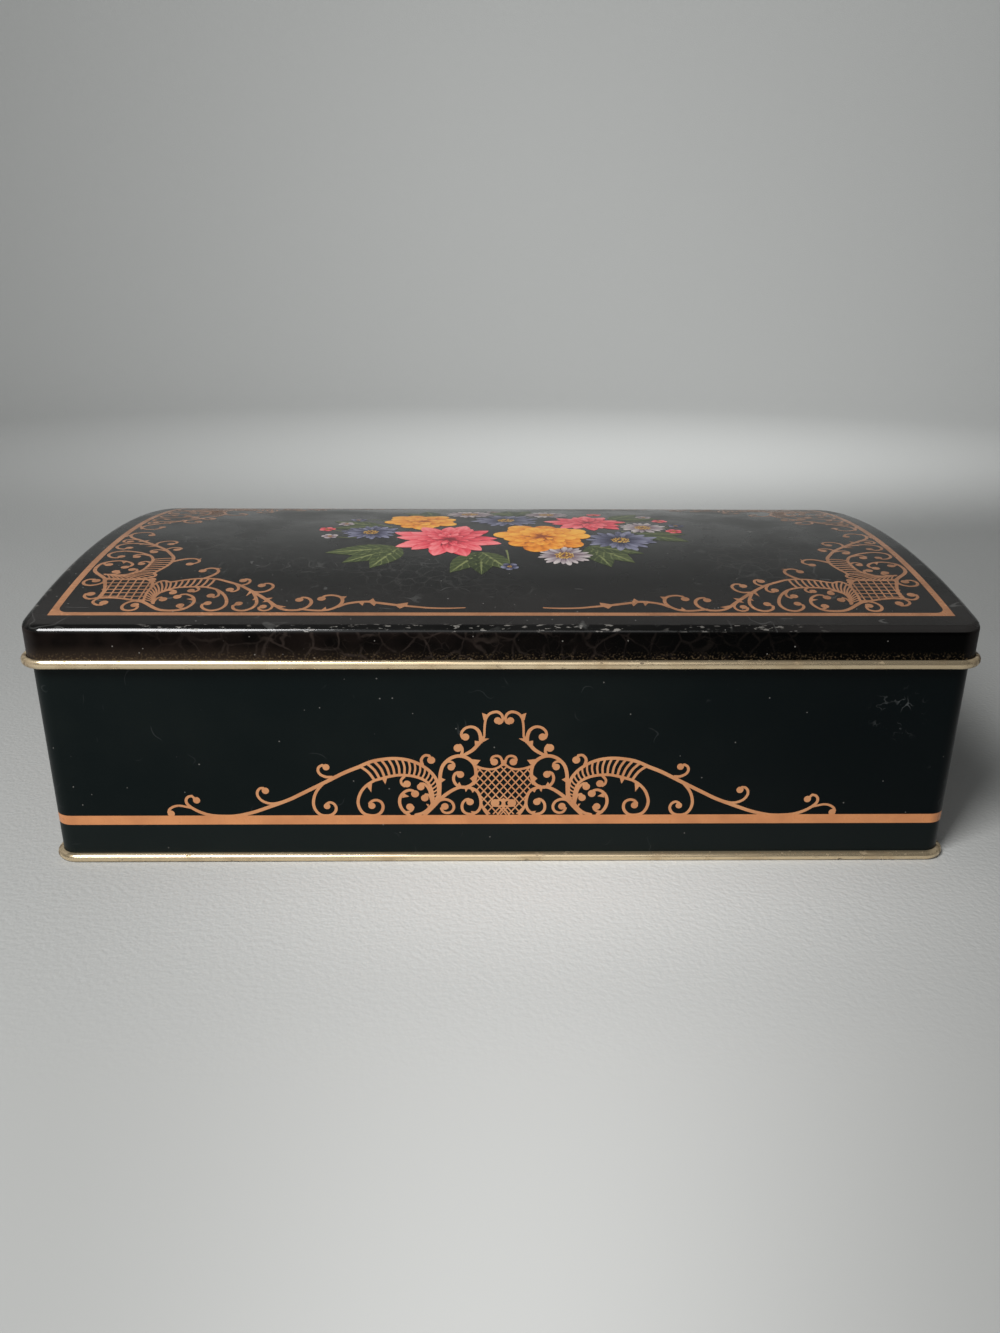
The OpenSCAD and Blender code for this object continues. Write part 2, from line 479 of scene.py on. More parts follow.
def pressed_sheet(name, rings, finishes, materials, capped):
    """A piece of sheet metal skinned through rings. A finish is the material index of the band after a ring.
    A capped sheet is filled across its first and last rings; another one joins its last ring to its first."""
    around = len(rings[0])
    loops = rings if capped else rings + [rings[0]]
    mesh = bpy.data.meshes.new(name)
    points = [Vector(p) * MM for loop in rings for p in loop]
    total = len(points)
    quads = [tuple(i % total for i in quad) for quad in bands_between(loops, around)]
    index = [finishes[k] for k in range(len(loops) - 1) for _ in range(around)]
    if capped:
        for first, finish in ((0, finishes[0]), (total - around, finishes[-1])):
            cap = strips_across(first, around)
            quads += cap
            index += [finish] * len(cap)
    mesh.from_pydata(points, [], quads)
    for material in materials:
        mesh.materials.append(material)
    mesh.polygons.foreach_set("material_index", index)
    finish_mesh(mesh)
    piece = add_object(name, mesh)
    weighted = piece.modifiers.new("weighted_normals", "WEIGHTED_NORMAL")
    weighted.keep_sharp = True
    return piece


SHARP_ANGLE = math.radians(35)


def finish_mesh(mesh):
    """Turns faces outwards, shades them smooth and keeps folded edges sharp."""
    work = bmesh.new()
    work.from_mesh(mesh)
    bmesh.ops.recalc_face_normals(work, faces=work.faces)
    for face in work.faces:
        face.smooth = True
    for edge in work.edges:
        edge.smooth = edge.calc_face_angle(0) < SHARP_ANGLE
    work.to_mesh(mesh)
    work.free()


def arc(centre, radius, start, end, steps):
    """Points of a circular arc in a section, angles in degrees."""
    angles = [math.radians(start + (end - start) * k / steps) for k in range(steps + 1)]
    return [(centre[0] + radius * math.cos(a), centre[1] + radius * math.sin(a)) for a in angles]


def make_body(black, rim, inside):
    """Body wall: printed outside, with the lock seam's fine groove; gold inside and round its hem."""
    foot = SEAM_H / 2
    hem = (-HEM_R, BODY_TOP - HEM_R)
    fade = 0.1
    section = [(0, foot, 0), (0, SEAM_FOOT_Z - fade, 0), (0, SEAM_FOOT_Z, GROOVE_T)]
    section += [(0, SEAM_TOP_Z, GROOVE_T), (0, SEAM_TOP_Z + fade, 0)]
    printed = len(section) + 2
    section += [(x, z, 0) for x, z in arc(hem, HEM_R, 0, 270, HEM_STEPS)]
    rolled = len(section)
    section += [(x, z, 0) for x, z in arc(hem, HEM_R - SHEET, 270, 0, HEM_STEPS)]
    section += [(-SHEET, foot, 0)]
    finishes = [0] * printed + [1] * (rolled - printed) + [2] * (len(section) - rolled)
    rings = [ring(BODY_W, BODY_D, CORNER_R, -x, z, groove) for x, z, groove in section]
    return pressed_sheet("body_shell", rings, finishes, [black, rim, inside], capped=False)


def make_lock_seam(inside):
    """The folded strip down the inside of the back, where the wall is hooked to itself."""
    half = LOCK_SEAM_W / 2
    root = BODY_D / 2 - SHEET / 2
    face = BODY_D / 2 - SHEET - LOCK_SEAM_T
    right = [(half - SEAM_ROUND, face), (half - SEAM_ROUND_MID, face + SEAM_ROUND_MID)]
    right += [(half, face + SEAM_ROUND), (half, root)]
    section = right + [(-x, y) for x, y in reversed(right)]
    rings = [[(x, y, z) for x, y in section] for z in (SEAM_FOOT_Z, SEAM_TOP_Z)]
    return pressed_sheet("lock_seam", rings, [0, 0], [inside], capped=True)


def make_base(gold):
    """Base: a stepped panel, a countersunk edge and a curl round the body's foot."""
    inner = 2 * SHEET + SEAM_FIT
    curl_x = SEAM_OUT - SEAM_H / 2

    def panel_ring(inset, z):
        return ring(BODY_W - 2 * inset, BODY_D - 2 * inset, PANEL_CORNER_R, 0, z)

    rings = [panel_ring(PANEL_INSET + SHEET, PANEL_Z + PANEL_STEP)]
    rings += [panel_ring(PANEL_INSET + SHEET, PANEL_Z)]
    edge = [(-inner, PANEL_Z), (-inner, BASE_BEND), (-inner + BASE_BEND, 0), (curl_x, 0)]
    edge += arc((curl_x, SEAM_H / 2), SEAM_H / 2, CURL_START, 90, CURL_STEPS)
    edge += [(SEAM_FIT, SEAM_H), (SEAM_FIT, SHEET)]
    edge += [(SHEET - inner, SHEET), (SHEET - inner, PANEL_Z + SHEET)]
    rings += [ring(BODY_W, BODY_D, CORNER_R, -x, z) for x, z in edge]
    rings += [panel_ring(PANEL_INSET, PANEL_Z + SHEET)]
    rings += [panel_ring(PANEL_INSET, PANEL_Z + PANEL_STEP + SHEET)]
    return pressed_sheet("base", rings, [0] * len(rings), [gold], capped=True)


def make_lid(top, skirt, rim_finish, inside):
    """Lid: a vaulted top with a rounded edge, a skirt and a rim rolled outwards; gold rim and inside.
    The skirt's finish starts on the lower part of the rounded edge."""
    def edge_ring(depth, angle):
        r = LID_EDGE_R - depth
        inset = LID_EDGE_R - r * math.cos(angle)
        drop = LID_EDGE_R - r * math.sin(angle)
        return ring(LID_W, LID_D, LID_CORNER_R, inset, lambda y: EDGE_Z + vault(abs(y)) - drop)

    def rim_ring(depth, turn):
        a = math.radians(turn)
        inset = SHEET - RIM_T / 2 + (RIM_T / 2 - depth) * math.cos(a)
        height = LID_Z + RIM_H / 2 - (RIM_H / 2 - depth) * math.sin(a)
        return ring(LID_W, LID_D, LID_CORNER_R, inset, height)

    edge_angles = [math.radians(90 - 90 * k / EDGE_STEPS) for k in range(EDGE_STEPS + 1)]
    rim_angles = [RIM_TURN * k / RIM_STEPS for k in range(RIM_STEPS + 1)]
    rings = [edge_ring(0, a) for a in edge_angles]
    finishes = [0] * TOP_BANDS + [1] * (len(edge_angles) - TOP_BANDS)
    rings += [rim_ring(SHEET, a) for a in rim_angles]
    rings += [rim_ring(0, a) for a in reversed(rim_angles)]
    finishes += [2] * (2 * len(rim_angles) - 1)
    rings += [edge_ring(SHEET, a) for a in reversed(edge_angles)]
    finishes += [3] * (len(edge_angles) + 1)
    return pressed_sheet("lid_shell", rings, finishes, [top, skirt, rim_finish, inside], capped=True)


# Scrollwork

PATH_STEPS = 7
BALL_STEPS = 22
FRONT_WEIGHT = 0.86
CORNER_WEIGHT = 0.92
END_SCALE = 0.66


def curve_point(p, q, r, s, t):
    """A coordinate at a share t of the way from q to r, on a curve that comes from p and goes on to s."""
    bend = 2 * p - 5 * q + 4 * r - s
    twist = 3 * q - p - 3 * r + s
    return 0.5 * (2 * q + (r - p) * t + bend * t * t + twist * t ** 3)


def smooth_path(points):
    """A curve through the points, as a list of close points."""
    ends = [points[0]] + list(points) + [points[-1]]
    path = []
    for a, b, c, d in zip(ends, ends[1:], ends[2:], ends[3:]):
        for k in range(PATH_STEPS):
            path.append(tuple(curve_point(*four, k / PATH_STEPS) for four in zip(a, b, c, d)))
    path.append(tuple(points[-1]))
    return path


def blend3(t, start, middle, end):
    """A value that goes from start through middle to end as t goes from 0 to 1."""
    if t < 0.5:
        return start + (middle - start) * 2 * t
    return middle + (end - middle) * (2 * t - 1)


class Print:
    """Flat inked shapes in millimetres, joined into one outline with no overlaps."""

    def __init__(self, weight=1.0):
        self.weight = weight
        self.shapes = []
        self.cuts = []

    def polygon(self, points):
        self.shapes.append([Vector(p) for p in points])

    def cut(self, points):
        """Leaves a polygon bare."""
        self.cuts.append([Vector(p) for p in points])

    def ball(self, centre, radius):
        turns = [2 * math.pi * k / BALL_STEPS for k in range(BALL_STEPS)]
        self.polygon([(centre[0] + radius * math.cos(a), centre[1] + radius * math.sin(a)) for a in turns])

    def ribbon(self, path, widths):
        """A band along a path, as one quad for each step. Widths are at the start, middle and end."""
        last = len(path) - 1
        sides = []
        for k, point in enumerate(path):
            ahead = Vector(path[min(k + 1, last)]) - Vector(path[max(k - 1, 0)])
            across = Vector((-ahead.y, ahead.x)).normalized() * self.weight * blend3(k / last, *widths) / 2
            sides.append((Vector(point) + across, Vector(point) - across))
        for (a, b), (c, d) in zip(sides, sides[1:]):
            self.polygon([a, b, d, c])

    def stroke(self, points, widths, ball=None):
        """A curved stroke, which may end in a ball given as (u, v, radius)."""
        path = smooth_path(points)
        self.ribbon(path, widths)
        for end, width in ((path[0], widths[0]), (path[-1], widths[2])):
            self.ball(end, self.weight * width / 2)
        if ball:
            self.ball(ball[:2], ball[2])
            self.ribbon([path[-1], ball[:2]], (widths[2],) * 3)

    def thorn(self, base_a, base_b, tip):
        self.polygon([base_a, base_b, tip])

    def add_copy(self, other, rule):
        """Adds another print's shapes, moved by a rule on (u, v)."""
        for shape in other.shapes:
            self.polygon([rule(p.x, p.y) for p in shape])

    def outline(self):
        """Points and triangles of the joined shapes."""
        points = []
        faces = []
        for shape in self.shapes + self.cuts:
            turn = sum(a.cross(b) for a, b in zip(shape, shape[1:] + shape[:1]))
            shape = shape if turn > 0 else shape[::-1]
            faces.append(list(range(len(points), len(points) + len(shape))))
            points += shape
        inked = len(self.shapes)
        verts, _, tris, _, _, sources = delaunay_2d_cdt(points, [], faces, 0, 1e-5, True)
        return verts, [tri for tri, source in zip(tris, sources) if source and max(source) < inked]


def ink(name, drawing, places, material, body):
    """Prints a drawing on a surface at each place, a rule from (u, v) to a point in millimetres."""
    flat, tris = drawing.outline()
    points = []
    faces = []
    for place in places:
        first = len(points)
        points += [Vector(place(p.x, p.y)) * MM for p in flat]
        faces += [tuple(first + i for i in tri) for tri in tris]
    piece = smooth_skin(name, points, faces, material)
    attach(piece, body)


def lattice(drawing, region, slopes, pitch, width, anchor):
    """Straight bars across a region, a polygon; slopes are the bars' directions and pitch their spacing."""
    reach = 40
    step = 0.1
    bars = 20
    for slope in slopes:
        along = Vector(slope).normalized()
        across = Vector((-along.y, along.x))
        for k in range(-bars, bars + 1):
            start = Vector(anchor) + across * pitch * k
            samples = [start + along * step * i for i in range(int(-reach / step), int(reach / step))]
            run = []
            for point in samples + [None]:
                if point is not None and holds(region, point):
                    run.append(point)
                elif run:
                    if len(run) > 2:
                        drawing.ribbon([run[0], run[-1]], (width,) * 3)
                    run = []


def holds(region, point):
    """True where a point lies in a polygon."""
    hit = False
    for (ax, ay), (bx, by) in zip(region, region[1:] + region[:1]):
        if (ay > point.y) != (by > point.y) and point.x < ax + (bx - ax) * (point.y - ay) / (by - ay):
            hit = not hit
    return hit


def at_share(path, share):
    """The point at a share of the way along a list of close points."""
    lengths = [0]
    for a, b in zip(path, path[1:]):
        lengths.append(lengths[-1] + (Vector(b) - Vector(a)).length)
    target = share * lengths[-1]
    for k in range(1, len(path)):
        if lengths[k] >= target:
            t = (target - lengths[k - 1]) / (lengths[k] - lengths[k - 1])
            return Vector(path[k - 1]).lerp(Vector(path[k]), t)
    return Vector(path[-1])


def ribbed_wing(drawing, outer, inner, ribs, crowding, widths, bow, lead=0.0):
    """Ribs between an outer and an inner curve, closer and thinner towards their ends.
    A lead slants the ribs, with their feet that share of the inner curve ahead in the middle."""
    outer_path = smooth_path(outer)
    inner_path = smooth_path(inner)
    for k in range(ribs):
        t = k / ribs
        share = t * (1 + crowding * (1 - t))
        top = at_share(outer_path, share)
        foot = at_share(inner_path, share + lead * math.sin(math.pi * share))
        across = Vector((foot.y - top.y, top.x - foot.x)) * bow
        width = widths[0] + (widths[1] - widths[0]) * t
        drawing.ribbon(smooth_path([top, (top + foot) / 2 + across, foot]), (width,) * 3)


def front_half():
    """Half of the scrollwork on the body's front: u from its middle, v up from the band's top edge."""
    d = Print(FRONT_WEIGHT)
    # The arched crest and the stem that carries it
    d.stroke([(5.1, 23.1), (5.0, 26.2), (4.6, 28.3), (3.6, 29.6), (1.9, 30.05), (0.7, 29.3), (0.35, 28.1),
              (0.7, 27.1), (1.3, 26.8)], (0.65, 0.9, 0.75), (1.65, 27.6, 0.95))
    d.thorn((5.25, 27.6), (4.2, 29.2), (5.7, 29.75))
    d.stroke([(6.0, 21.6), (6.1, 23.2), (6.6, 24.7), (7.6, 25.6), (8.7, 25.85), (9.9, 25.5), (10.8, 24.6),
              (11.05, 23.5), (10.7, 22.6)], (1.2, 0.85, 0.8), (10.0, 22.95, 1.0))
    d.stroke([(11.3, 17.5), (10.2, 17.9), (8.2, 19.15), (6.95, 20.5), (5.95, 21.7), (5.25, 22.9)],
             (0.9, 1.15, 0.8))
    d.thorn((6.2, 22.6), (5.4, 21.5), (3.8, 22.5))
    d.thorn((7.5, 20.2), (6.3, 21.7), (7.6, 21.9))
    # The tall C-scroll beside the vase, with its small curls
    d.stroke([(17.1, 4.9), (16.9, 7.8), (16.8, 10.6), (16.55, 12.9), (15.9, 14.8), (14.4, 16.5),
              (12.6, 17.4), (10.8, 17.4), (9.1, 16.6), (7.8, 15.1), (7.3, 13.2), (7.4, 11.2), (8.1, 9.5),
              (9.4, 8.6), (10.8, 8.3), (12.1, 8.75), (12.95, 9.8), (13.2, 11.1), (12.8, 12.3),
              (12.0, 12.75)], (1.1, 1.1, 0.85), (11.4, 12.1, 1.0))
    d.thorn((16.7, 11.3), (16.6, 9.6), (15.3, 10.6))
    d.thorn((8.6, 16.6), (7.1, 14.9), (6.1, 16.3))
    d.thorn((7.7, 12.0), (7.9, 9.8), (8.9, 10.9))
    d.thorn((12.4, 8.8), (11.0, 8.6), (11.7, 9.9))
    d.stroke([(15.8, 14.9), (14.9, 15.75), (13.9, 15.85), (13.15, 15.3), (13.0, 14.5)],
             (0.8, 0.75, 0.8), (13.8, 14.25, 0.95))
    d.stroke([(11.2, 17.6), (10.85, 18.7), (10.9, 19.8), (11.4, 20.6)], (1.0, 0.8, 0.85), (12.0, 19.8, 1.1))
    # The stem that runs up from the band and down the vase's side
    d.stroke([(20.9, 0.3), (18.8, 2.5), (17.0, 4.6), (15.2, 6.25), (13.2, 7.65), (11.4, 8.35), (9.7, 8.3),
              (8.1, 7.9), (6.9, 7.0), (6.25, 5.5), (6.0, 3.75), (6.2, 2.3), (6.9, 1.1), (8.0, 0.4)],
             (1.3, 0.95, 0.9))
    d.stroke([(8.0, 0.2), (9.7, 0.4), (10.75, 1.25), (11.05, 2.5), (10.8, 3.7), (10.0, 4.6), (9.3, 4.8)],
             (0.9, 0.9, 0.8), (8.9, 3.95, 1.0))
    d.thorn((8.3, 0.2), (6.9, 1.0), (8.7, 1.2))
    d.thorn((10.4, 8.2), (9.2, 8.2), (10.0, 6.9))
    d.thorn((8.9, 8.0), (7.5, 7.5), (8.2, 6.7))
    d.stroke([(17.8, 3.9), (16.4, 4.65), (15.0, 4.65), (13.75, 3.9), (13.2, 2.6), (13.6, 1.3), (14.8, 0.65),
              (16.0, 0.95), (16.6, 2.0)], (1.0, 0.85, 0.8), (15.6, 2.6, 1.0))
    # The ribbed wing
    outer = [(37.7, 14.55), (34.7, 15.9), (31.7, 16.55), (28.7, 16.8), (25.7, 16.5), (23.2, 15.7),
             (21.2, 14.55), (19.4, 13.05), (18.1, 11.3), (17.4, 9.6), (17.2, 7.75), (17.3, 6.05),
             (17.9, 4.4)]
    inner = [(34.0, 10.4), (31.7, 11.1), (29.8, 11.6), (27.7, 11.95), (25.7, 11.9), (23.7, 11.6),
             (21.9, 11.0), (20.5, 10.1), (19.5, 8.85), (18.95, 7.25), (18.7, 5.65), (18.7, 4.2)]
    d.stroke(outer, (1.1, 1.0, 1.0))
    d.stroke(inner, (0.9, 0.9, 0.8))
    ribbed_wing(d, outer, inner, 18, 0.27, (0.85, 0.38), 0.08)
    d.stroke([(21.3, 14.9), (21.6, 16.1), (21.3, 17.05), (20.5, 17.7), (19.5, 17.6)],
             (1.0, 0.85, 0.85), (19.0, 16.3, 1.05))
    # Curls under the wing
    d.stroke([(26.2, 11.5), (27.0, 10.5), (26.9, 9.4), (26.2, 8.75)], (0.9, 0.75, 0.9), (25.5, 9.35, 1.0))
    d.stroke([(19.2, 4.9), (19.5, 7.0), (20.1, 8.4), (21.0, 9.3), (21.9, 9.4)],
             (0.9, 0.85, 0.85), (21.9, 8.45, 1.0))
    d.stroke([(25.2, 0.1), (26.3, 0.95), (27.2, 2.2), (27.6, 3.9), (27.3, 5.6), (26.3, 6.9), (25.0, 7.5),
              (23.9, 7.3)], (1.0, 1.0, 0.85), (23.45, 6.4, 1.05))
    d.thorn((26.4, 6.6), (26.9, 5.2), (25.0, 5.6))
    d.stroke([(26.3, 0.8), (25.1, 1.05), (24.3, 1.65), (24.05, 2.4)], (0.9, 0.75, 0.8), (24.9, 2.5, 1.0))
    d.stroke([(18.9, 3.4), (19.2, 4.8), (19.7, 5.9), (20.6, 6.2)], (1.0, 0.85, 0.85), (20.9, 5.15, 1.0))
    d.stroke([(18.4, 4.3), (19.2, 2.9), (20.2, 1.6), (21.6, 0.6), (23.4, 0.1)], (1.0, 1.1, 0.9))
    d.thorn((19.9, 3.3), (19.8, 1.9), (20.6, 3.4))
    # The large C-scroll under the wing and the one under the tail
    d.stroke([(33.9, 10.45), (35.9, 9.15), (37.5, 7.35), (38.4, 5.25), (38.6, 3.45), (38.1, 1.7),
              (37.1, 0.45), (35.4, -0.1), (33.6, 0.1), (32.4, 1.25), (32.05, 2.7), (32.5, 3.95),
              (33.7, 4.55), (34.9, 4.25), (35.6, 3.5)], (0.9, 1.0, 0.85), (35.0, 2.85, 0.95))
    d.thorn((36.2, 8.8), (34.7, 9.7), (35.0, 6.9))
    d.thorn((32.1, 10.9), (30.6, 11.3), (31.2, 9.3))
    d.stroke([(47.7, 9.35), (49.2, 7.55), (50.1, 5.65), (50.45, 3.55), (50.1, 1.85), (49.2, 0.55),
              (48.0, -0.05), (46.1, 0.05), (44.9, 0.95), (44.5, 2.25), (45.0, 3.4), (46.0, 3.9),
              (46.9, 3.5)], (0.9, 0.95, 0.8), (46.9, 2.75, 0.88))
    d.stroke([(45.2, 11.4), (46.7, 11.45), (48.1, 12.15), (48.7, 13.25), (48.4, 14.35), (47.5, 14.9)],
             (0.9, 0.85, 0.8), (46.55, 14.3, 0.92))
    # The long tail, with its curls
    d.stroke([(37.6, 14.5), (41.8, 12.7), (46.8, 10.0), (53.1, 6.65), (56.8, 4.75), (62.5, 2.45),
              (66.8, 0.9), (71.2, -0.1), (75.0, -0.2), (78.1, 0.15), (80.6, 1.05), (82.5, 2.2), (83.8, 3.5),
              (84.0, 4.7), (83.4, 5.6), (82.4, 5.9)], (1.2, 1.1, 0.8), (81.25, 4.6, 0.95))
    d.stroke([(82.8, 2.3), (84.3, 2.7), (85.9, 3.0), (87.4, 2.75), (88.6, 1.95), (89.0, 1.0)],
             (0.7, 0.75, 0.85), (88.35, 0.6, 0.95))
    d.stroke([(57.2, 4.6), (60.2, 3.65), (62.2, 3.65), (64.0, 4.45), (65.0, 5.85), (65.0, 7.15),
              (64.3, 8.05), (63.4, 8.2)], (0.9, 0.85, 0.8), (62.9, 7.4, 0.95))
    # The vase: its lip with a curl, its lattice and its foot
    d.stroke([(7.5, 14.6), (5.6, 13.9), (3.4, 13.6), (1.7, 14.0), (0.5, 14.9), (0.0, 16.0)],
             (0.8, 0.7, 0.8))
    d.stroke([(0.3, 14.9), (0.5, 16.2), (1.0, 17.2), (1.95, 17.5), (2.95, 17.15), (3.3, 16.3)],
             (0.8, 0.8, 0.8), (2.5, 15.75, 1.0))
    d.stroke([(6.1, 4.0), (5.75, 2.9), (5.15, 1.6), (4.3, 0.3)], (0.7, 0.8, 0.9))
    region = [(0.0, 15.0), (1.6, 14.0), (3.4, 13.6), (5.6, 13.9), (7.3, 14.4), (7.2, 11.2), (8.0, 8.8),
              (6.8, 7.1), (6.1, 5.4), (5.9, 3.7), (5.3, 2.0), (4.4, 0.3), (0.0, 0.0)]
    region += [(-u, v) for u, v in reversed(region)]
    lattice(d, region, [(2.1, 2.5), (2.1, -2.5)], 1.6, 0.42, (0.0, 11.0))
    d.ball((2.25, 3.6), 1.15)
    d.stroke([(0.0, 1.9), (0.0, 3.4), (0.0, 4.9)], (0.6, 1.2, 0.6))
    d.ribbon([(0.0, 4.55), (2.1, 4.4)], (0.7,) * 3)
    d.ribbon([(0.0, 2.6), (2.0, 2.7)], (0.6,) * 3)
    d.ribbon([(0.0, 2.3), (1.6, 0.0)], (0.6,) * 3)
    return d


def both_halves(half):
    """A drawing with its mirror image."""
    drawing = Print()
    drawing.add_copy(half, lambda u, v: (u, v))
    drawing.add_copy(half, lambda u, v: (-u, v))
    return drawing


def rectangle(x0, x1, y0, y1):
    return [(x0, y0), (x1, y0), (x1, y1), (x0, y1)]


def print_body(copper):
    """The band right round the body, and the scrollwork on its front, back and ends."""
    wall_x = BODY_W / 2 + INK_LIFT
    wall_y = BODY_D / 2 + INK_LIFT

    def end_wall(side):
        return lambda u, v: (side * wall_x, side * END_SCALE * u, BAND_TOP + END_SCALE * v)

    scroll = both_halves(front_half())
    scroll.cut(rectangle(-100, 100, -5, 0))
    ink("front_scrollwork", scroll, [lambda u, v: (u, -wall_y, BAND_TOP + v)], copper, "tin_body")
    ink("end_scrollwork", scroll, [end_wall(1), end_wall(-1)], copper, "tin_body")
    scroll.cut(rectangle(-GROOVE_W, GROOVE_W, 0, 40))
    ink("back_scrollwork", scroll, [lambda u, v: (-u, wall_y, BAND_TOP + v)], copper, "tin_body")
    section = ((INK_LIFT, BAND_LOW), (INK_LIFT, BAND_TOP), (INK_LIFT / 2, BAND_TOP), (INK_LIFT / 2, BAND_LOW))
    rings = [ring(BODY_W, BODY_D, CORNER_R, -out, z) for out, z in section]
    band = pressed_sheet("band", rings, [0] * len(rings), [copper], capped=False)
    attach(band, "tin_body")


def corner_front():
    """The part of a lid corner that runs along the front: a along the frame line, b in from it."""
    d = Print(CORNER_WEIGHT)
    # The stem from the ribbed fan down to the frame line
    d.stroke([(33.6, 19.6), (37.1, 19.0), (40.1, 17.5), (43.1, 15.8), (45.1, 14.3), (47.8, 11.8),
              (50.1, 9.6), (52.6, 7.0), (54.6, 4.9), (56.1, 3.2), (57.6, 1.9), (59.3, 1.2), (61.3, 1.1),
              (63.0, 1.6)], (1.0, 1.2, 0.9))
    outer = [(36.3, 19.2), (33.6, 19.5), (31.1, 19.3), (29.1, 18.8), (27.1, 18.1), (25.4, 17.4),
             (24.3, 17.2), (23.0, 17.9), (21.8, 17.6), (20.8, 16.0), (20.3, 13.6), (20.1, 10.7),
             (20.3, 8.2), (20.6, 5.6)]
    inner = [(35.3, 14.1), (32.1, 14.2), (29.1, 14.0), (26.8, 13.5), (24.9, 12.3), (23.8, 10.9),
             (23.1, 9.2), (23.0, 7.2), (23.6, 4.6)]
    d.stroke(outer, (0.9, 0.9, 0.8))
    d.stroke(inner, (0.9, 0.9, 0.8))
    ribbed_wing(d, outer, inner, 18, 0.2, (0.75, 0.4), -0.05, 0.1)
    # Large C-scrolls that stand on the frame line
    d.stroke([(35.0, 14.1), (37.8, 12.9), (39.9, 11.0), (41.6, 8.4), (42.6, 5.6), (42.6, 3.4), (41.5, 1.6),
              (39.6, 0.9), (37.9, 1.5), (36.7, 2.9), (36.6, 4.1)], (0.9, 1.0, 0.85), (37.8, 4.8, 1.05))
    d.stroke([(48.3, 11.2), (49.5, 8.7), (50.4, 6.2), (50.6, 4.2), (49.9, 2.2), (48.3, 1.0), (46.6, 1.0),
              (45.2, 1.9), (44.7, 3.4)], (0.9, 1.0, 0.85), (46.0, 4.6, 1.05))
    d.stroke([(20.3, 5.7), (22.1, 4.3), (24.3, 2.4), (26.1, 1.3), (28.1, 0.9), (30.3, 1.0), (32.1, 1.6),
              (33.3, 3.0), (34.0, 4.8), (33.8, 6.6), (32.8, 8.5), (31.1, 9.7), (29.7, 9.6)],
             (1.2, 1.0, 0.85), (28.9, 8.3, 1.1))
    d.thorn((33.6, 7.6), (34.1, 5.9), (31.6, 7.1))
    # Small curls
    d.stroke([(38.6, 12.1), (39.5, 10.4), (39.5, 8.8), (38.7, 8.0)], (0.9, 0.8, 0.9), (37.6, 9.0, 1.1))
    d.stroke([(32.6, 14.0), (33.5, 12.8), (33.2, 11.7), (32.5, 11.2)], (0.9, 0.8, 0.8), (31.6, 11.9, 1.0))
    d.stroke([(33.2, 2.8), (32.2, 2.0), (31.2, 2.3)], (0.8, 0.8, 0.8), (30.9, 3.5, 1.1))
    d.stroke([(23.3, 5.0), (23.7, 7.2), (24.6, 8.1)], (1.0, 0.8, 0.8), (25.5, 6.9, 1.1))
    d.stroke([(24.0, 10.9), (25.1, 11.9), (26.3, 12.2), (27.4, 11.7)], (0.8, 0.8, 0.8), (27.1, 10.7, 1.05))
    d.stroke([(33.4, 19.6), (34.9, 21.4), (35.9, 23.2), (35.9, 25.0), (34.9, 26.3), (33.3, 26.7),
              (32.1, 26.0)], (1.3, 0.95, 0.85), (31.5, 24.7, 1.1))
    d.thorn((35.3, 26.1), (34.2, 26.7), (36.5, 26.7))
    d.stroke([(44.3, 15.0), (45.8, 16.0), (46.3, 17.4), (45.9, 18.7), (44.9, 19.2)],
             (0.9, 0.85, 0.85), (44.3, 18.2, 1.1))
    d.stroke([(43.0, 15.6), (43.9, 14.0), (44.1, 12.6), (43.5, 11.6), (42.6, 11.4)],
             (0.9, 0.85, 0.85), (41.9, 12.5, 1.1))
    d.stroke([(48.4, 11.3), (50.6, 11.1), (52.1, 11.8), (53.1, 13.4), (53.1, 15.0), (52.1, 16.2),
              (50.8, 16.3)], (0.9, 0.9, 0.85), (50.0, 15.1, 1.1))
    d.stroke([(52.7, 6.9), (54.3, 4.9), (55.1, 3.2), (54.7, 1.6), (53.4, 0.9), (52.1, 1.4), (51.7, 2.5)],
             (0.8, 0.8, 0.8), (52.7, 3.0, 1.0))
    d.thorn((47.4, 12.4), (48.3, 10.9), (47.0, 8.6))
    d.thorn((49.7, 8.4), (50.3, 6.6), (49.1, 6.4))
    d.thorn((52.9, 7.0), (53.9, 5.6), (52.0, 5.3))
    d.thorn((52.4, 7.6), (53.6, 6.6), (54.4, 7.9))
    # The basket's lower edge and its curls
    d.stroke([(20.5, 5.6), (18.9, 6.0), (17.1, 6.6), (15.1, 7.2), (13.1, 7.6), (11.1, 7.8), (9.0, 7.6)],
             (1.2, 0.9, 0.9))
    d.stroke([(19.9, 6.0), (18.1, 5.9), (16.6, 5.0), (15.9, 3.2), (16.6, 1.5), (18.3, 0.9), (19.8, 1.6),
              (20.0, 3.0)], (0.9, 0.9, 0.85), (19.0, 3.8, 1.1))
    d.stroke([(8.6, 7.8), (7.6, 6.3), (7.7, 5.0), (9.0, 3.9), (10.4, 3.8)],
             (0.9, 0.85, 0.85), (10.5, 5.0, 1.15))
    # The crown where the two fans meet
    d.stroke([(20.4, 14.0), (19.9, 16.4), (18.5, 18.5)], (0.9, 1.0, 1.2))
    return d


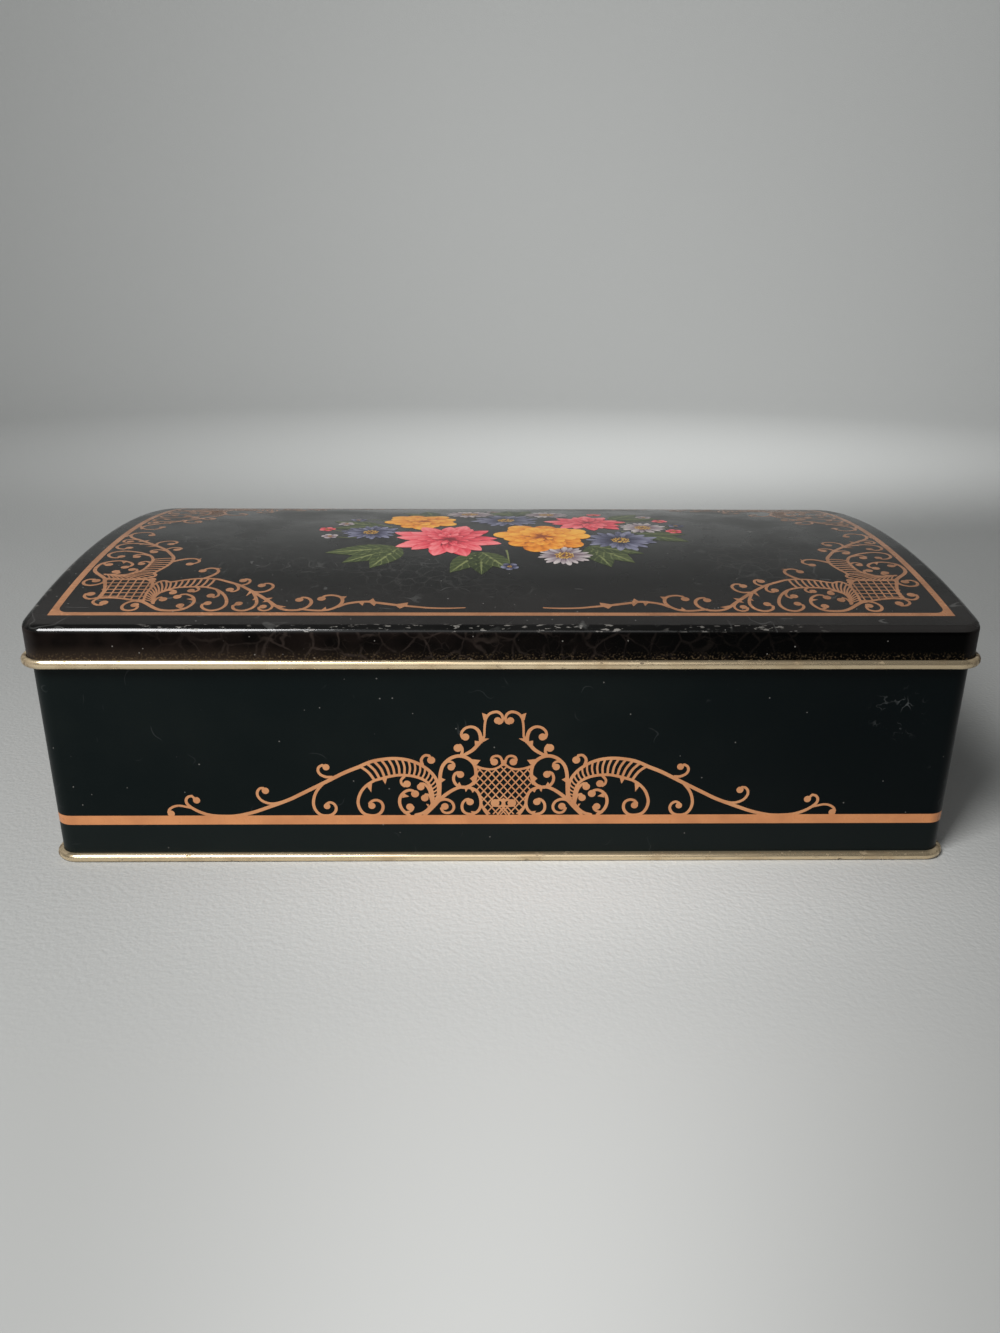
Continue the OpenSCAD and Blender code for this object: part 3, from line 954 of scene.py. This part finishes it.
def corner_twig():
    """The thorny twig that goes on along the front from a lid corner."""
    d = Print()
    d.stroke([(60.3, 1.1), (62.4, 1.3), (64.2, 2.7), (65.0, 4.7), (64.6, 6.6), (63.4, 7.8), (62.2, 8.0)],
             (0.9, 0.95, 0.85), (61.6, 6.7, 1.1))
    d.thorn((55.4, 4.2), (57.0, 2.3), (58.9, 2.9))
    d.stroke([(62.6, 1.7), (64.6, 1.3), (66.6, 1.0), (68.4, 1.0), (70.3, 1.5), (71.9, 2.8), (72.9, 4.5),
              (73.1, 6.3), (72.5, 8.0), (71.1, 9.0), (69.4, 9.3), (67.9, 8.8)],
             (0.8, 1.0, 0.85), (67.4, 7.3, 1.15))
    d.thorn((73.2, 6.8), (71.9, 8.6), (74.0, 8.7))
    d.thorn((68.0, 1.0), (69.6, 1.2), (69.1, 2.9))
    d.stroke([(72.4, 3.0), (74.1, 4.4), (76.1, 5.2), (78.1, 5.6), (80.1, 5.7), (82.1, 5.2), (84.6, 4.6),
              (87.1, 4.0), (89.6, 3.5), (93.1, 2.9), (96.1, 2.4), (100.1, 2.2), (103.1, 2.3), (105.6, 2.5)],
             (1.0, 1.1, 0.5))
    d.thorn((77.2, 5.5), (79.0, 5.5), (78.7, 3.5))
    d.thorn((79.8, 5.8), (82.0, 5.4), (81.1, 7.6))
    d.thorn((80.2, 5.4), (82.2, 5.1), (81.8, 3.3))
    d.thorn((86.8, 4.2), (90.2, 3.4), (88.6, 2.0))
    d.thorn((87.0, 4.2), (90.4, 3.6), (90.6, 5.3))
    return d


FRAME_INSET_X = 6.1
FRAME_INSET_Y = 6.3
FRAME_LINE_X = 1.8
FRAME_LINE_Y = 1.55
FRAME_FILLET = 2.6
FRONT_ALONG = 0.976
END_ACROSS = 1.05
END_ALONG = 0.945


def corner_scrollwork():
    """A whole lid corner: the front part, the same turned along the end, the basket and the twig."""
    d = Print(CORNER_WEIGHT)
    part = corner_front()
    d.add_copy(part, lambda a, b: (a * FRONT_ALONG, b))
    d.add_copy(part, lambda a, b: (b * END_ACROSS, a * END_ALONG))
    d.add_copy(corner_twig(), lambda a, b: (a * FRONT_ALONG, b))
    region = [(8.0, 8.0), (19.9, 5.8), (19.6, 10.7), (19.8, 14.0), (18.2, 18.5), (14.0, 20.0), (10.7, 20.0),
              (5.9, 20.0)]
    lattice(d, region, [(1, 0), (0, 1)], 2.0, 0.48, (8.6, 8.6))
    d.ball((18.7, 18.7), 1.1)
    # The curl at the middle of the end
    d.stroke([(0.0, 55.0), (0.9, 57.6), (2.6, 59.6), (4.6, 60.2), (6.4, 59.6), (7.4, 58.2)],
             (0.8, 0.85, 0.85), (7.3, 56.9, 1.1))
    return d


def over_lid(lift):
    """A rule that lays a drawing on the lid's top, this far above the sheet."""
    return lambda u, v: (u, v, EDGE_Z + vault(v) + lift)


def print_lid(copper):
    """The frame line on the lid's top, with scrollwork in its four corners."""
    line_x = LID_W / 2 - FRAME_INSET_X
    line_y = LID_D / 2 - FRAME_INSET_Y
    inner_x = line_x - FRAME_LINE_X
    inner_y = line_y - FRAME_LINE_Y
    corner = corner_scrollwork()
    drawing = Print()
    rows = 24
    for k in range(rows):
        low = -line_y + 2 * line_y * k / rows
        high = -line_y + 2 * line_y * (k + 1) / rows
        for side in (-1, 1):
            drawing.polygon(rectangle(side * line_x, side * inner_x, low, high))
    for side in (-1, 1):
        drawing.polygon(rectangle(-line_x, line_x, side * line_y, side * inner_y))
    fillet = [(inner_x, inner_y)]
    fillet += arc((inner_x - FRAME_FILLET, inner_y - FRAME_FILLET), FRAME_FILLET, 0, 90, 8)
    for sx in (-1, 1):
        for sy in (-1, 1):
            drawing.polygon([(sx * x, sy * y) for x, y in fillet])
            drawing.add_copy(corner, lambda a, b, sx=sx, sy=sy: (sx * (inner_x - a), sy * (inner_y - b)))
    ink("lid_scrollwork", drawing, [over_lid(INK_LIFT)], copper, "lid")


# The spray of flowers

GOLDEN_TURN = math.radians(137.508)
PETAL_ROWS = 10
PETAL_COLS = 6
PETAL_TIP = 0.002
BLOSSOM_R = 2.7
STEM_DROP = 0.005
MARKS = ("along", "across", "tone")


def petal_mesh(name, width, peak, blunt):
    """A petal one millimetre long, from the origin along x. A larger peak moves its widest place outwards,
    and a smaller blunt makes its tip rounder. Its points carry their place along it and across it."""
    mesh = bpy.data.meshes.new(name)
    points = []
    marks = []
    for row in range(PETAL_ROWS + 1):
        s = 0.5 - 0.5 * math.cos(math.pi * row / PETAL_ROWS)
        half = width / 2 * math.sin(math.pi * s ** peak) ** blunt if 0 < s < 1 else PETAL_TIP
        for col in range(PETAL_COLS + 1):
            t = 2 * col / PETAL_COLS - 1
            points.append((s, t * half, 0))
            marks.append((s, t))
    wide = PETAL_COLS + 1
    faces = [(r * wide + c, (r + 1) * wide + c, (r + 1) * wide + c + 1, r * wide + c + 1)
             for r in range(PETAL_ROWS) for c in range(PETAL_COLS)]
    mesh.from_pydata(points, [], faces)
    for k, mark in enumerate(MARKS[:2]):
        layer = mesh.attributes.new(mark, "FLOAT", "POINT")
        layer.data.foreach_set("value", [pair[k] for pair in marks])
    return mesh


def rosette_tree():
    """Geometry Nodes: copies of a petal round a point, each turned on from the last, from the first size and
    reach to the last, and each lifted over the one before."""
    tree = bpy.data.node_groups.new("rosette", "GeometryNodeTree")
    floats = ("Start", "Turn", "Size", "Last Size", "Reach", "Last Reach", "Ease", "Jitter", "Lift")
    sockets = [("Geometry", "Geometry"), ("Count", "Int")]
    sockets += [(name, "Float") for name in floats]
    sockets += [("Seed", "Int"), ("Finish", "Material")]
    for name, kind in sockets:
        tree.interface.new_socket(name, in_out="INPUT", socket_type="NodeSocket" + kind)
    tree.interface.new_socket("Geometry", in_out="OUTPUT", socket_type="NodeSocketGeometry")
    given = tree.nodes.new("NodeGroupInput")
    start = Wire(tree)

    def value(name):
        return Wire(tree, given.outputs[name])

    def random(low, high, shift):
        inputs = {2: low, 3: high, "Seed": value("Seed") + shift}
        return start.node("FunctionNodeRandomValue", {"data_type": "FLOAT"}, inputs, output=1)

    index = start.node("GeometryNodeInputIndex")
    rank = index.math("DIVIDE", index, value("Count") - 1)
    angle = value("Start") + index * value("Turn") + random(-1.0, 1.0, 0) * value("Jitter")
    size = value("Size") + (value("Last Size") - value("Size")) * rank
    size = size * (1 - random(0.0, 1.0, 1) * value("Jitter"))
    eased = rank.math("POWER", rank, value("Ease"))
    reach = value("Reach") + (value("Last Reach") - value("Reach")) * eased
    x = angle.math("COSINE", angle) * reach
    y = angle.math("SINE", angle) * reach
    place = start.node("ShaderNodeCombineXYZ", None, {"X": x, "Y": y, "Z": index * value("Lift")})
    turn = start.node("ShaderNodeCombineXYZ", None, {"Z": angle})
    points = start.node("GeometryNodePoints", None, {"Count": value("Count"), "Position": place})
    inputs = {"Points": points, "Instance": value("Geometry"), "Rotation": turn, "Scale": size}
    copies = start.node("GeometryNodeInstanceOnPoints", None, inputs)
    settings = {"data_type": "FLOAT", "domain": "INSTANCE"}
    inputs = {"Geometry": copies, "Name": "tone", "Value": random(0.0, 1.0, 2)}
    toned = start.node("GeometryNodeStoreNamedAttribute", settings, inputs)
    real = start.node("GeometryNodeRealizeInstances", None, {"Geometry": toned})
    dressed = start.node("GeometryNodeSetMaterial", None, {"Geometry": real, "Material": value("Finish")})
    tree.links.new(dressed.socket, tree.nodes.new("NodeGroupOutput").inputs["Geometry"])
    return tree


def rosette(tree, petal, values):
    """The plain mesh of one rosette."""
    host = add_object("rosette", petal)
    modifier = host.modifiers.new("rosette", "NODES")
    modifier.node_group = tree
    for socket in tree.interface.items_tree:
        if socket.in_out == "INPUT" and socket.name in values:
            modifier[socket.identifier] = values[socket.name]
    bpy.context.view_layer.update()
    graph = bpy.context.evaluated_depsgraph_get()
    solved = host.evaluated_get(graph)
    mesh = bpy.data.meshes.new_from_object(solved, preserve_all_data_layers=True, depsgraph=graph)
    bpy.data.objects.remove(host)
    return mesh


class Spray:
    """Gathers rosettes by finish, laid on the lid's vault, one over another."""

    def __init__(self):
        self.tree = rosette_tree()
        self.pieces = {}

    def add(self, finish, petal, x, y, layer, **values):
        """Lays a rosette at (x, y), this many millimetres above the print."""
        values = {"reach": 0.0, "last_reach": 0.0, "ease": 1.0, **values}
        named = {key.replace("_", " ").title(): value for key, value in values.items()}
        made = rosette(self.tree, petal, {**named, "Finish": finish})
        points, faces, marks = self.pieces.setdefault(finish, ([], [], {mark: [] for mark in MARKS}))
        first = len(points)
        for vertex in made.vertices:
            px = x + vertex.co.x
            py = y + vertex.co.y
            points.append(Vector((px, py, EDGE_Z + vault(py) + INK_LIFT + layer + vertex.co.z)) * MM)
        faces += [tuple(first + i for i in face.vertices) for face in made.polygons]
        for mark in MARKS:
            marks[mark] += [item.value for item in made.attributes[mark].data]

    def lay(self):
        """Makes one piece of each finish."""
        for finish, (points, faces, marks) in self.pieces.items():
            piece = smooth_skin(finish.name, points, faces, finish)
            for mark, values in marks.items():
                piece.data.attributes.new(mark, "FLOAT", "POINT").data.foreach_set("value", values)
            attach(piece, "lid")


def read_marks(start):
    """Wires from the marks that the petals' points carry."""
    return {key: start.node("ShaderNodeAttribute", {"attribute_name": key}, output="Fac") for key in MARKS}


def tint(material, start, depth, positions, colours):
    """Colours a printed flower or leaf by its depth, from the deep tone to the pale one."""
    stops = [(position, rgb(*colour)) for position, colour in zip(positions, colours)]
    colour = start.node("ShaderNodeValToRGB", {"stops": stops}, {"Fac": depth})
    connect(material, base_color=colour, roughness=0.35, specular_ior_level=0.3)
    return material


def petal_paint(name, *tones):
    """Printed petals: deep at the heart, pale at the tip, with fine streaks along them."""
    material, start = new_material(name)
    mark = read_marks(start)
    mottle = noise(place_mm(start), 0.8)
    streak = start.math("SINE", mark["across"] * 9.0) * 0.08
    edge = abs(mark["across"])
    depth = mark["along"] + streak + (mottle - 0.5) * 0.3 + (mark["tone"] - 0.5) * 0.4 - edge * edge * 0.2
    return tint(material, start, depth, (0.2, 0.58, 1.0), tones)


def leaf_paint(name, *tones):
    """Printed leaves: a pale midrib and slanting side veins."""
    material, start = new_material(name)
    mark = read_marks(start)
    mottle = noise(place_mm(start), 1.1)
    side = abs(mark["across"])
    vein = start.math("SINE", mark["along"] * 42.0 - side * 9.0).step(0.75, 1.0) * 0.3
    rib = side.step(0.16, 0.02)
    depth = 0.15 + mottle * 0.45 + vein + rib * 0.6 + (mark["tone"] - 0.5) * 0.3
    return tint(material, start, depth, (0.1, 0.5, 1.0), tones)


def lay_spray():
    """Dahlias, zinnias, asters and daisies among leaves, with sprigs of small blossom at both sides."""
    coral = petal_paint("coral_petals", (0.20, 0.008, 0.018), (0.74, 0.055, 0.085), (0.92, 0.25, 0.26))
    amber = petal_paint("amber_petals", (0.26, 0.05, 0.004), (0.76, 0.235, 0.014), (0.92, 0.46, 0.06))
    slate = petal_paint("slate_petals", (0.016, 0.014, 0.036), (0.075, 0.075, 0.13), (0.24, 0.24, 0.33))
    white = petal_paint("white_petals", (0.12, 0.06, 0.08), (0.32, 0.26, 0.28), (0.58, 0.52, 0.50))
    heart = petal_paint("flower_hearts", (0.25, 0.09, 0.005), (0.6, 0.32, 0.03), (0.85, 0.66, 0.2))
    green = leaf_paint("leaves", (0.010, 0.016, 0.005), (0.050, 0.068, 0.022), (0.20, 0.22, 0.085))
    pointed = petal_mesh("pointed_petal", 0.36, 1.5, 0.8)
    rounded = petal_mesh("rounded_petal", 0.52, 2.0, 0.5)
    narrow = petal_mesh("narrow_petal", 0.24, 1.8, 0.6)
    broad = petal_mesh("broad_petal", 0.85, 1.7, 0.5)
    leaf = petal_mesh("leaf", 0.46, 0.8, 1.0)
    dot = petal_mesh("dot", 1.0, 1.0, 0.5)
    spray = Spray()

    def flower(finish, petal, x, y, radius, layer, count, turn, inner, seed):
        spray.add(finish, petal, x, y, layer, count=count, start=0.3 * seed, turn=turn, size=radius,
                  last_size=radius * inner, jitter=0.06, lift=0.0003, seed=seed)

    def centre(x, y, radius, layer, seed):
        spray.add(heart, dot, x, y, layer, count=34, start=0.0, turn=GOLDEN_TURN, size=radius * 0.42,
                  last_size=radius * 0.3, last_reach=radius, ease=0.5, jitter=0.1, lift=0.0001, seed=seed)

    # Groups of leaves: their place, the first one's heading, size, count and turn from leaf to leaf
    groups = ((-30, -18, 195, 22, 3, 0.5), (-6, -22, 245, 20, 3, 0.45), (26, -16, 280, 20, 3, 0.45),
              (42, -2, 325, 18, 2, 0.6), (-38, 8, 155, 18, 2, 0.6), (-22, 26, 100, 16, 2, 0.7),
              (4, 28, 65, 18, 3, 0.5), (36, 20, 10, 18, 2, 0.7))
    for seed, (x, y, heading, size, count, turn) in enumerate(groups, 1):
        spray.add(green, leaf, x, y, 0.0005 * seed, count=count, start=math.radians(heading), turn=turn,
                  size=size, last_size=size * 0.9, jitter=0.08, lift=0.0004, seed=seed)
    # Sprigs: the place of the blossom and the bend of the stem
    tips = ((-49, 11, 3), (-54, 3, -3), (-46, 18, 4), (-52, -6, -3), (52, 17, 3), (56, 9, -3),
            (48, 25, 4), (54, 1, -3), (2, -34, 2), (-2, 40, 3), (32, 31, 3))
    first_seed = 20
    sprigs = Print()
    for seed, (x, y, bend) in enumerate(tips, first_seed):
        root = (x * 0.7, y * 0.6)
        middle = ((root[0] + x) / 2, (root[1] + y) / 2 + bend)
        sprigs.stroke([root, middle, (x, y)], (0.7, 0.5, 0.4))
        finish = (white, coral, slate)[(seed - first_seed) % 3]
        flower(finish, broad, x, y, BLOSSOM_R, 0.010, 5, 2 * math.pi / 5, 1.0, seed)
        centre(x, y, 0.6, 0.013, seed)
    ink("sprig_stems", sprigs, [over_lid(INK_LIFT - STEM_DROP)], green, "lid")
    for x, y, radius, seed in ((36, -10, 12, 1), (-40, -1, 10, 2), (2, 18, 12, 3)):
        flower(slate, narrow, x, y, radius, 0.012, 34, GOLDEN_TURN, 0.6, seed)
        centre(x, y, radius * 0.2, 0.024, seed)
    for x, y, radius, seed in ((-10, 32, 9, 4), (18, -25, 8.5, 5), (45, 6, 8, 6), (16, 31, 8, 11)):
        flower(white, narrow, x, y, radius, 0.014, 21, GOLDEN_TURN, 0.85, seed)
        centre(x, y, radius * 0.28, 0.022, seed)
    flower(amber, rounded, 13, -6, 17, 0.016, 40, GOLDEN_TURN, 0.22, 7)
    flower(amber, rounded, -25, 16, 14, 0.016, 36, GOLDEN_TURN, 0.22, 8)
    flower(coral, pointed, -16, -9, 19, 0.024, 48, GOLDEN_TURN, 0.2, 9)
    flower(coral, pointed, 28, 14, 14.5, 0.022, 42, GOLDEN_TURN, 0.2, 10)
    spray.lay()


# The tin, its stage and its camera

copper = copper_ink()
rim = rim_gold()
inside = inside_gold()

body_shell = make_body(body_lacquer(), rim, inside)
base = make_base(rim)
lid_shell = make_lid(lid_lacquer(), skirt_lacquer(), rim, inside)
for piece, node, body, slot in ((body_shell, "body_wall", "tin_body", "black_lacquer"),
                                (base, "base_plate", "tin_body", "gold_lacquer"),
                                (lid_shell, "lid", "lid", "black_lacquer")):
    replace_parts(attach(piece, body), node)
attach(make_lock_seam(inside), "tin_body")

print_body(copper)
print_lid(copper)
lay_spray()

PHOTO_H_PX = 1333
FOCAL_PX = 1006
SENSOR = 36.0
CAMERA_AT = Vector((-5.2, -306.2, 146.9))
YAW = math.radians(-0.98)
PITCH = math.radians(20.94)
ROLL = math.radians(-0.35)


def add_camera():
    """A camera whose place and lens were fitted to the edges in the photograph."""
    data = bpy.data.cameras.new("camera")
    data.sensor_width = SENSOR
    data.lens = FOCAL_PX / PHOTO_H_PX * SENSOR
    data.clip_start = 0.01
    camera = add_object("camera", data)
    turn = Matrix.Rotation(YAW, 3, "Z") @ Matrix.Rotation(math.pi / 2 - PITCH, 3, "X")
    turn = turn @ Matrix.Rotation(-ROLL, 3, "Z")
    camera.matrix_world = Matrix.Translation(CAMERA_AT * MM) @ turn.to_4x4()
    bpy.context.scene.camera = camera


def add_stage():
    """A pale, finely grained floor that curves up all round into a backdrop. In front of the tin a pool of
    light is painted on it, brightest before the tin's middle, and in reflections it is dark behind the
    camera."""
    material, start = new_material("backdrop")
    seen = start.node("ShaderNodeLightPath", output="Is Camera Ray")
    place = start.node("ShaderNodeTexCoord", output="Object")
    depth = axis(place, "Y")
    # Painted light: a pool of light on the floor in front of the tin, brightest before its middle and darker
    # towards the sides.
    closer = depth.step(-0.08, -0.30)
    aside = axis(place, "X") - 0.02 + closer * 0.03
    painted_light_pool = (abs(aside) * (1 + closer * 1.3)).step(0.15, 0)
    # Painted light: a brighter strip just in front of the tin.
    near = depth.step(-0.13, -0.085)
    pale = (painted_light_pool * (0.66 + near * 0.34)).mix(rgb(0.39, 0.395, 0.385), rgb(0.67, 0.675, 0.66))
    # Behind the tin the floor is an even pale grey; in front it carries the painted pool of light.
    colour = depth.step(0.35, 0.05).mix(rgb(0.52, 0.53, 0.52), pale)
    behind_camera = depth.step(-0.55, -0.95)
    colour = (behind_camera * (1 - seen)).mix(colour, rgb(0.05, 0.05, 0.05))
    grain = bump(noise(place_mm(start), 1.4, 1.0) * depth.step(-0.17, -0.08), 0.22)
    connect(material, base_color=colour, roughness=0.8, normal=grain)
    floor_r = 1.0
    cove_r = 0.8
    top_z = 2.6
    profile = [(floor_r, 0.0)]
    profile += arc((floor_r, cove_r), cove_r, -90, 0, 16)[1:]
    profile += [(floor_r + cove_r, top_z)]
    spins = 64
    turns = [2 * math.pi * k / spins for k in range(spins)]
    points = [(r * math.cos(a), r * math.sin(a), z) for r, z in profile for a in turns]
    faces = [quad[::-1] for quad in bands_between(profile, spins)] + [tuple(range(spins))]
    stage = smooth_skin("backdrop", points, faces, material)


TIN_MIDDLE = (0, 0, 0.04)


def add_light(name, at, towards, size, power, spread=180):
    """A square soft box that faces a point, with a beam this many degrees wide."""
    data = bpy.data.lights.new(name, "AREA")
    data.size = size
    data.energy = power
    data.spread = math.radians(spread)
    light = add_object(name, data)
    light.location = at
    light.rotation_euler = (Vector(towards) - Vector(at)).to_track_quat("-Z", "Y").to_euler()


def add_world():
    """Faint, cool light from all round."""
    world = bpy.data.worlds.new("room")
    world.use_nodes = True
    background = world.node_tree.nodes["Background"]
    background.inputs["Color"].default_value = rgb(0.9, 0.95, 1.0)
    background.inputs["Strength"].default_value = 0.06
    bpy.context.scene.world = world


add_camera()
add_stage()
add_world()
add_light("key_box", (-0.31, -0.43, 0.60), TIN_MIDDLE, size=0.26, power=6.1)
add_light("front_box", (-0.18, -0.95, 0.60), TIN_MIDDLE, size=0.9, power=2.8)
add_light("wash_box", (0.20, 0.20, 0.56), (-0.05, 2.0, 0.40), size=0.45, power=7.4, spread=135)

bpy.context.scene.view_settings.view_transform = "Standard"
